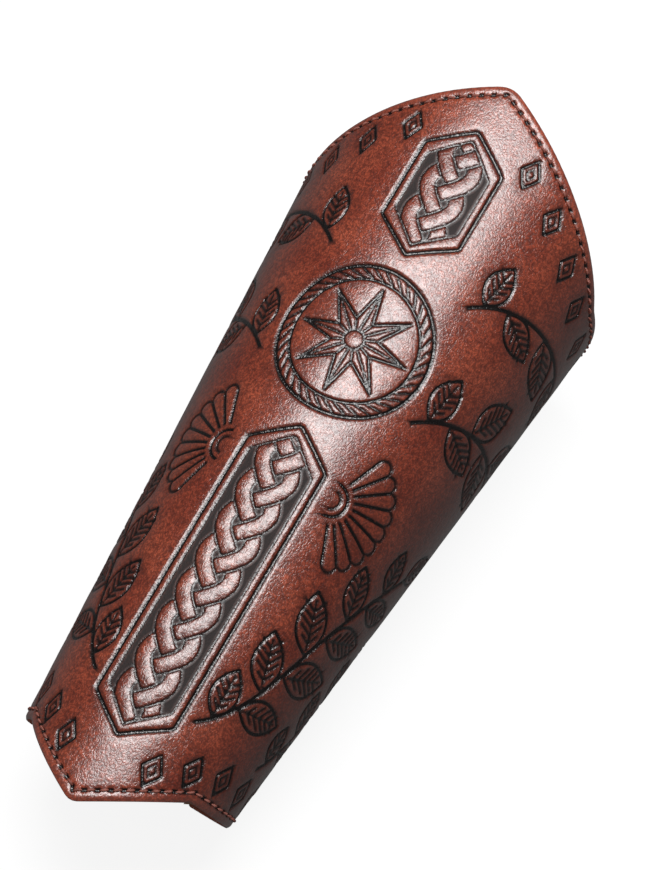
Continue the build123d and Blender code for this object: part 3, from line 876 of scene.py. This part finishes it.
# Rings and rivets: bent brass wire and pressed brass caps, tumbled and chemically darkened, then rubbed
# bright on top. The tarnish lies in spots 3.8 mm apart; the tumbling leaves fine marks of 0.4 mm.
brass = new_material("brass_antiqued_tumbled")
spot = add(brass, "ShaderNodeTexCoord").outputs["Object"]
tarnish = add(
    brass, "ShaderNodeTexNoise", [("Vector", spot)], in_Scale=26 / (100 * MM), in_Detail=6.0, in_Roughness=0.65
)
brass_tone = add(
    brass, "ShaderNodeValToRGB", [("Fac", tarnish.outputs["Fac"])], stops=((0.35, "#8A6C3C"), (0.62, "#E0C07C"))
)
scratches = add(brass, "ShaderNodeTexNoise", [("Vector", spot)], in_Scale=26 / (10 * MM), in_Detail=2.0)
bump = add(
    brass, "ShaderNodeBump", [("Height", scratches.outputs["Fac"])], in_Strength=0.25, in_Distance=0.04 * MM
)
gloss = add(
    brass, "ShaderNodeMapRange", [(0, tarnish.outputs["Fac"])], in_1=0.35, in_2=0.62, in_3=0.52, in_4=0.24
)
shader = add(
    brass, "ShaderNodeBsdfPrincipled",
    [("Base Color", brass_tone.outputs["Color"]), ("Normal", bump.outputs[0]), ("Roughness", gloss.outputs[0])],
    in_Metallic=1.0,
)
add(brass, "ShaderNodeOutputMaterial", [("Surface", shader.outputs[0])])
give_slot("antique_brass", brass)


# Floor and light: a plain white table, a long soft lamp over the middle of the arm, and a dim room. The
# camera sees table and room as white; what is mirrored or scattered on to the leather is much darker.
FLOOR_HALF, FLOOR_DROP = 3000 * MM, 0.2 * MM
TABLE_WHITE, TABLE_MIRRORED, TABLE_PAINT, TABLE_BOUNCED, TABLE_LEAST = 0.88, 0.12, 0.09, 0.30, 0.04
ROOM_WHITE, ROOM_BOUNCED, ROOM_LEAST = 0.90, 0.25, 0.06
floor_mesh = bpy.data.meshes.new("floor")
corners = [(x * FLOOR_HALF, y * FLOOR_HALF, -FLOOR_DROP) for x, y in ((-1, -1), (1, -1), (1, 1), (-1, 1))]
floor_mesh.from_pydata(corners, [], [(0, 1, 2, 3)])
floor = bpy.data.objects.new("floor", floor_mesh)
bpy.context.scene.collection.objects.link(floor)
table = new_material("painted_table_matt_white")
path = add(table, "ShaderNodeLightPath")
mirrored = add(
    table, "ShaderNodeMath", [(0, path.outputs["Is Glossy Ray"])], operation="MULTIPLY", in_1=TABLE_MIRRORED
)
seen = add(
    table, "ShaderNodeMath", [(0, path.outputs["Is Camera Ray"]), (1, mirrored.outputs[0])], operation="MAXIMUM"
)
seen_all = add(
    table, "ShaderNodeMath", [(0, seen.outputs[0]), (1, path.outputs["Is Transmission Ray"])], operation="MAXIMUM"
)
bounced = add(
    table, "ShaderNodeMath", [(0, path.outputs["Is Diffuse Ray"])],
    operation="MULTIPLY_ADD", in_1=TABLE_BOUNCED, in_2=TABLE_LEAST,
)
paint = add(
    table, "ShaderNodeMath", [(0, path.outputs["Is Camera Ray"]), (2, bounced.outputs[0])],
    operation="MULTIPLY_ADD", in_1=TABLE_PAINT,
)
table_coat = add(table, "ShaderNodeBsdfDiffuse", [("Color", paint.outputs[0])])
white = add(table, "ShaderNodeMath", [(0, seen_all.outputs[0])], operation="MULTIPLY", in_1=TABLE_WHITE)
glow = add(table, "ShaderNodeEmission", [("Strength", white.outputs[0])])
both = add(table, "ShaderNodeAddShader", [(0, table_coat.outputs[0]), (1, glow.outputs[0])])
add(table, "ShaderNodeOutputMaterial", [("Surface", both.outputs[0])])
floor_mesh.materials.append(table)


def lamp(name, place, aim, size, watts, beam=None):
    """A soft lamp with its place and aim in the arm's frame: a panel with its long side along the arm, or,
    with a beam of so many degrees, a spot."""
    light = bpy.data.lights.new(name, "SPOT" if beam else "AREA")
    light.energy = watts
    if beam:
        light.spot_size, light.spot_blend, light.shadow_soft_size = math.radians(beam), 1.0, size * MM
    else:
        light.shape, light.size, light.size_y = "RECTANGLE", size[0] * MM, size[1] * MM
    holder = bpy.data.objects.new(name, light)
    back = Vector(laid([place])[0] - laid([aim])[0]).normalized()
    side = arm_y.cross(back).normalized()
    turned = Matrix([side, back.cross(side), back]).transposed()
    holder.matrix_world = Matrix.Translation(Vector(laid([place])[0])) @ turned.to_4x4()
    bpy.context.scene.collection.objects.link(holder)


lamp("long_soft_lamp", (-10, 207, 1092), (0, 0, 42), (760, 400), 14.6)
lamp("elbow_lamp", (440, 330, 950), (24, 138, 42), 80, 14.0, beam=12.5)
world = bpy.data.worlds.new("room")
bpy.context.scene.world = world
world.use_nodes = True
world.node_tree.nodes.clear()
room = add(world, "ShaderNodeLightPath")
walls = add(
    world, "ShaderNodeMath", [(0, room.outputs["Is Diffuse Ray"])],
    operation="MULTIPLY_ADD", in_1=ROOM_BOUNCED, in_2=ROOM_LEAST,
)
wall_white = add(
    world, "ShaderNodeMath", [(0, room.outputs["Is Camera Ray"]), (2, walls.outputs[0])],
    operation="MULTIPLY_ADD", in_1=ROOM_WHITE,
)
room_light = add(
    world, "ShaderNodeBackground", [("Strength", wall_white.outputs[0])], in_Color=colour("#FFFFFF")
)
add(world, "ShaderNodeOutputWorld", [("Surface", room_light.outputs[0])])
